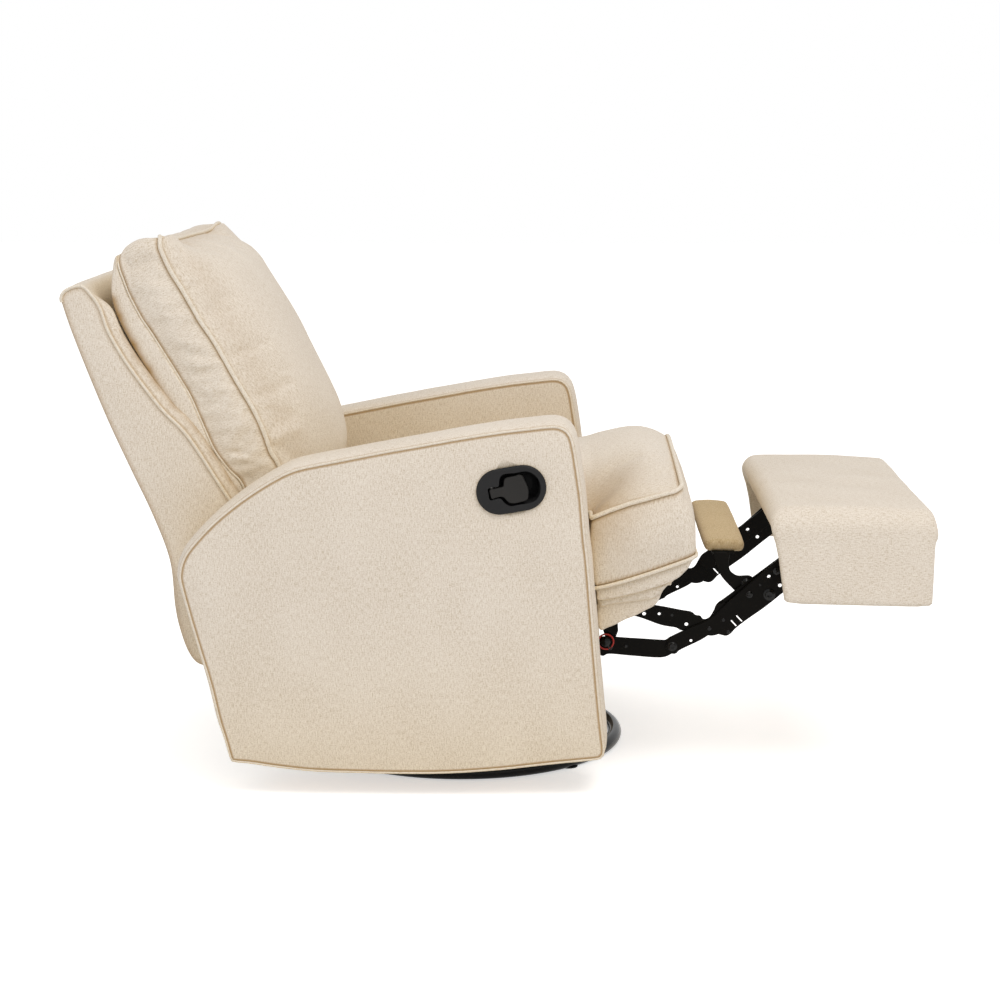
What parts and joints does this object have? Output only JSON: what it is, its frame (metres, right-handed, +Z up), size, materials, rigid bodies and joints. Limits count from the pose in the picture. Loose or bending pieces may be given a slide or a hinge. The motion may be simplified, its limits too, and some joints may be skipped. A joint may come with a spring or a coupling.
{
  "type": "swivel glider recliner",
  "caption": "Upholstered swivel glider recliner with a T-cushion seat, pillow back, drop-sided footrest on a folding steel linkage, calf pad, recessed side handle and a ring base.",
  "frame": {"origin": "bottom centre of the chair's box as pictured (reclined, footrest out), on the floor under the glides", "axes": "+X the way the sitter faces, +Y the sitter's left, +Z up; the chair turns about an upright axis 71.5 mm behind the origin"},
  "size_m": [1.467, 0.768, 0.929],
  "materials": {
    "cream_linen": "matte",
    "khaki_linen": "matte",
    "gloss_black_steel": "gloss",
    "black_steel": "satin",
    "bright_steel": "satin",
    "black_nylon": "matte",
    "satin_black_plastic": "satin",
    "red_plastic": "satin",
    "plywood": "matte",
    "pine": "matte"
  },
  "bodies": {
    "base": {"base_ring": "gloss_black_steel", "base_cross": "black_steel", "base_glide_1": "black_nylon", "base_glide_2": "black_nylon", "base_glide_3": "black_nylon", "base_glide_4": "black_nylon", "swivel_lower_race": "bright_steel"},
    "turning_stand": {"swivel_ball_ring": "bright_steel", "swivel_upper_race": "bright_steel", "glider_stand": "black_steel"},
    "front_links": {"front_swing_link_right": "black_steel", "front_swing_link_left": "black_steel"},
    "rear_links": {"rear_swing_link_right": "black_steel", "rear_swing_link_left": "black_steel"},
    "carriage": {"side_plate_right": "black_steel", "side_plate_left": "black_steel", "front_cross_tube": "black_steel", "rear_cross_tube": "black_steel", "arm_cover_right": "cream_linen", "arm_cover_left": "cream_linen", "arm_outer_panel_right": "plywood", "arm_outer_panel_left": "plywood", "arm_inner_panel_right": "plywood", "arm_inner_panel_left": "plywood", "arm_bottom_rail_right": "pine", "arm_bottom_rail_left": "pine", "handle_cup": "satin_black_plastic", "paddle_pin": "bright_steel", "release_cable": "black_nylon", "seat_deck": "plywood", "seat_front_rail": "pine", "seat_rear_rail": "pine", "seat_cushion": "cream_linen", "seat_apron": "cream_linen"},
    "release": {"release_paddle": "satin_black_plastic"},
    "back": {"back_cover": "cream_linen", "back_wing_right": "plywood", "back_wing_left": "plywood", "back_top_rail": "pine", "back_bottom_rail": "pine", "back_slab": "cream_linen", "back_cushion": "cream_linen", "back_bracket_right": "black_steel", "back_bracket_left": "black_steel"},
    "link_a": {"link_a_right": "black_steel", "link_a_left": "black_steel", "pivot_washer": "red_plastic"},
    "link_c": {"link_c_right": "black_steel", "link_c_left": "black_steel"},
    "link_b": {"link_b_right": "black_steel", "link_b_left": "black_steel"},
    "link_d": {"link_d_right": "black_steel", "link_d_left": "black_steel", "calf_pad": "khaki_linen", "calf_bracket_right": "black_steel", "calf_bracket_left": "black_steel"},
    "footrest": {"footrest_bracket_right": "black_steel", "footrest_bracket_left": "black_steel", "footrest_board": "plywood", "footrest_cover": "cream_linen"}
  },
  "joints": [
    {"name": "swivel", "type": "hinge", "parent": "base", "child": "turning_stand", "pos_m": [-0.0715, 0, 0.04], "axis": [0, 0, 1], "continuous": true},
    {"name": "front_swing", "type": "hinge", "parent": "turning_stand", "child": "front_links", "pos_m": [0.0265, 0, 0.215], "axis": [0, 1, 0], "range_deg": [-16.5, 16.5]},
    {"name": "glide", "type": "hinge", "parent": "front_links", "child": "carriage", "pos_m": [0.0265, 0, 0.097], "axis": [0, 1, 0], "range_deg": [-16, 16]},
    {"name": "rear_swing", "type": "hinge", "parent": "turning_stand", "child": "rear_links", "pos_m": [-0.1695, 0, 0.215], "axis": [0, 1, 0], "range_deg": [-16.5, 16.5]},
    {"name": "recline", "type": "hinge", "parent": "carriage", "child": "back", "pos_m": [-0.3335, 0, 0.292], "axis": [0, 1, 0], "range_deg": [-18, 14]},
    {"name": "footrest_fold", "type": "hinge", "parent": "carriage", "child": "link_c", "pos_m": [0.1905, 0, 0.29], "axis": [0, 1, 0], "range_deg": [0, 90]},
    {"name": "link_a_swing", "type": "hinge", "parent": "carriage", "child": "link_a", "pos_m": [0.1275, 0, 0.223], "axis": [0, 1, 0], "range_deg": [0, 94.7]},
    {"name": "link_b_swing", "type": "hinge", "parent": "link_c", "child": "link_b", "pos_m": [0.3665, 0, 0.259], "axis": [0, 1, 0], "range_deg": [-115.5, 0]},
    {"name": "link_d_swing", "type": "hinge", "parent": "link_c", "child": "link_d", "pos_m": [0.3835, 0, 0.285], "axis": [0, 1, 0], "range_deg": [-115.5, 0]},
    {"name": "footrest_tilt", "type": "hinge", "parent": "link_b", "child": "footrest", "pos_m": [0.5155, 0, 0.372], "axis": [0, 1, 0], "range_deg": [0, 115.5]},
    {"name": "release_pull", "type": "hinge", "parent": "carriage", "child": "release", "pos_m": [-0.00752, -0.375, 0.51853], "axis": [0.1736, 0, -0.9848], "range_deg": [0, 35], "stiffness_Nm_per_rad": 0.6}
  ],
  "couplings": [
    {"joint": "front_swing", "follows": "glide", "ratio": -1},
    {"joint": "rear_swing", "follows": "glide", "ratio": -1},
    {"joint": "link_a_swing", "follows": "footrest_fold", "ratio": 1.0509},
    {"joint": "link_b_swing", "follows": "footrest_fold", "ratio": -1.2826},
    {"joint": "link_d_swing", "follows": "footrest_fold", "ratio": -1.2826},
    {"joint": "footrest_tilt", "follows": "footrest_fold", "ratio": 1.2826}
  ]
}
